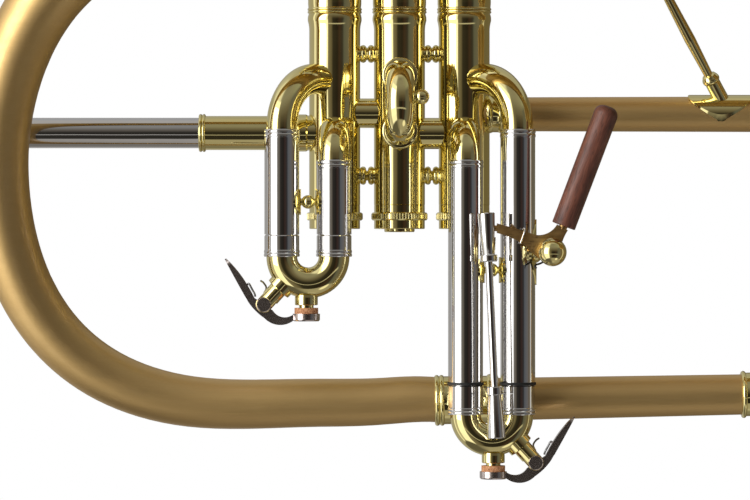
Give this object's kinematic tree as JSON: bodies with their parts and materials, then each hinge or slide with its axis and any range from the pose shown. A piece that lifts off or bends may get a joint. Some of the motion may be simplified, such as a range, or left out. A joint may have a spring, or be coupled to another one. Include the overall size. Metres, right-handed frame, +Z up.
{
  "type": "flugelhorn",
  "caption": "Wide-bore flugelhorn with piston valves, sliding mouthpipe, a lever-worked third slide and a broad flared bell.",
  "frame": {"origin": "on the second valve's axis, at the mean height of the main air ports, where the left hand holds the valve block", "axes": "+X towards the bell, +Z up along the valves, -Y to the player's right"},
  "size_m": [0.467, 0.1534, 0.2915],
  "materials": {
    "satin_brass": "satin brushed, lacquered",
    "lacquered_brass": "polished, clear lacquer",
    "nickel_silver": "polished nickel silver",
    "aged_brass": "unlacquered, darkened",
    "spring_steel": "drawn wire",
    "rosewood": "turned and oiled",
    "cork": "natural cork",
    "black_rubber": "matt O-ring"
  },
  "bodies": {
    "instrument": {"back_bow": "satin_brass", "bell": "satin_brass", "bell_braces": "lacquered_brass", "bottom_caps": "lacquered_brass", "casing_braces": "lacquered_brass", "exit_tube": "satin_brass", "finger_hook": "lacquered_brass", "front_bow": "satin_brass", "joint_ferrule": "lacquered_brass", "lower_tube": "satin_brass", "mouthpipe_sleeve": "lacquered_brass", "piston_spring_1": "spring_steel", "piston_spring_2": "spring_steel", "piston_spring_3": "spring_steel", "slide2_stubs": "lacquered_brass", "slide_braces": "lacquered_brass", "slide_elbows": "lacquered_brass", "slide_outer_tubes": "nickel_silver", "top_caps": "lacquered_brass", "trigger_post": "lacquered_brass", "trigger_screw": "lacquered_brass", "trigger_spring": "spring_steel", "tube_ferrules": "lacquered_brass", "valve_casing_1": "lacquered_brass", "valve_casing_2": "lacquered_brass", "valve_casing_3": "lacquered_brass", "valve_knuckles": "lacquered_brass"},
    "mouthpipe": {"mouthpipe_tube": "nickel_silver", "mouthpiece_receiver": "nickel_silver"},
    "first_slide": {"slide1_legs": "nickel_silver", "slide1_bow": "lacquered_brass", "water_key_1_saddle": "lacquered_brass", "water_key_1_screw": "nickel_silver"},
    "first_water_key": {"water_key_1_lever": "nickel_silver", "water_key_1_cork": "cork"},
    "second_slide": {"slide2_crook": "lacquered_brass", "slide2_knob": "lacquered_brass"},
    "third_slide": {"slide3_legs": "nickel_silver", "slide3_bow": "lacquered_brass", "slide3_bumpers": "black_rubber", "water_key_3_saddle": "lacquered_brass", "water_key_3_screw": "nickel_silver", "slide3_ball_stud": "nickel_silver"},
    "third_water_key": {"water_key_3_lever": "nickel_silver", "water_key_3_cork": "cork"},
    "trigger": {"trigger_lever": "aged_brass", "trigger_grip": "rosewood"},
    "link": {"link_rod": "nickel_silver", "link_cups": "nickel_silver", "link_nuts": "nickel_silver"},
    "valve_1": {"piston_1": "nickel_silver", "valve_stem_1": "lacquered_brass", "finger_button_1": "lacquered_brass"},
    "valve_2": {"piston_2": "nickel_silver", "valve_stem_2": "lacquered_brass", "finger_button_2": "lacquered_brass"},
    "valve_3": {"piston_3": "nickel_silver", "valve_stem_3": "lacquered_brass", "finger_button_3": "lacquered_brass"}
  },
  "joints": [
    {"name": "valve_1_stroke", "type": "slide", "parent": "instrument", "child": "valve_1", "axis": [0, 0, -1], "range_m": [0, 0.0165], "stiffness_N_per_m": 90, "springref_m": -0.017, "deforming": ["piston_spring_1"]},
    {"name": "valve_2_stroke", "type": "slide", "parent": "instrument", "child": "valve_2", "axis": [0, 0, -1], "range_m": [0, 0.0165], "stiffness_N_per_m": 90, "springref_m": -0.017, "deforming": ["piston_spring_2"]},
    {"name": "valve_3_stroke", "type": "slide", "parent": "instrument", "child": "valve_3", "axis": [0, 0, -1], "range_m": [0, 0.0165], "stiffness_N_per_m": 90, "springref_m": -0.017, "deforming": ["piston_spring_3"]},
    {"name": "mouthpipe_slide", "type": "slide", "parent": "instrument", "child": "mouthpipe", "axis": [1, 0, 0], "range_m": [-0.01, 0.018]},
    {"name": "first_slide_pull", "type": "slide", "parent": "instrument", "child": "first_slide", "axis": [0, 0, -1], "range_m": [0, 0.02]},
    {"name": "second_slide_pull", "type": "slide", "parent": "instrument", "child": "second_slide", "axis": [0, -1, 0], "range_m": [0, 0.009]},
    {"name": "trigger_pull", "type": "hinge", "parent": "instrument", "child": "trigger", "pos_m": [0.057, -0.035, -0.0494], "axis": [0, -1, 0], "range_deg": [0, 28], "stiffness_Nm_per_rad": 0.004, "springref_deg": -34.38},
    {"name": "third_slide_throw", "type": "slide", "parent": "instrument", "child": "third_slide", "axis": [0, 0, -1], "range_m": [0, 0.0122], "stiffness_N_per_m": 150, "springref_m": -0.0155},
    {"name": "link_swing", "type": "hinge", "parent": "third_slide", "child": "link", "pos_m": [0.0361, -0.035, -0.1144], "axis": [0, -1, 0], "range_deg": [-1, 3]},
    {"name": "first_water_key_press", "type": "hinge", "parent": "first_slide", "child": "first_water_key", "pos_m": [-0.0514, -0.0226, -0.06925], "axis": [0, 1, 0], "range_deg": [0, 20], "stiffness_Nm_per_rad": 0.02, "springref_deg": -28.65},
    {"name": "third_water_key_press", "type": "hinge", "parent": "third_slide", "child": "third_water_key", "pos_m": [0.0514, -0.0226, -0.129], "axis": [0, -1, 0], "range_deg": [0, 20], "stiffness_Nm_per_rad": 0.02, "springref_deg": -28.65}
  ],
  "couplings": [
    {"joint": "trigger_pull", "follows": "third_slide_throw", "rad_per_m": 40.03},
    {"joint": "link_swing", "follows": "third_slide_throw", "rad_per_m": 2.16}
  ]
}
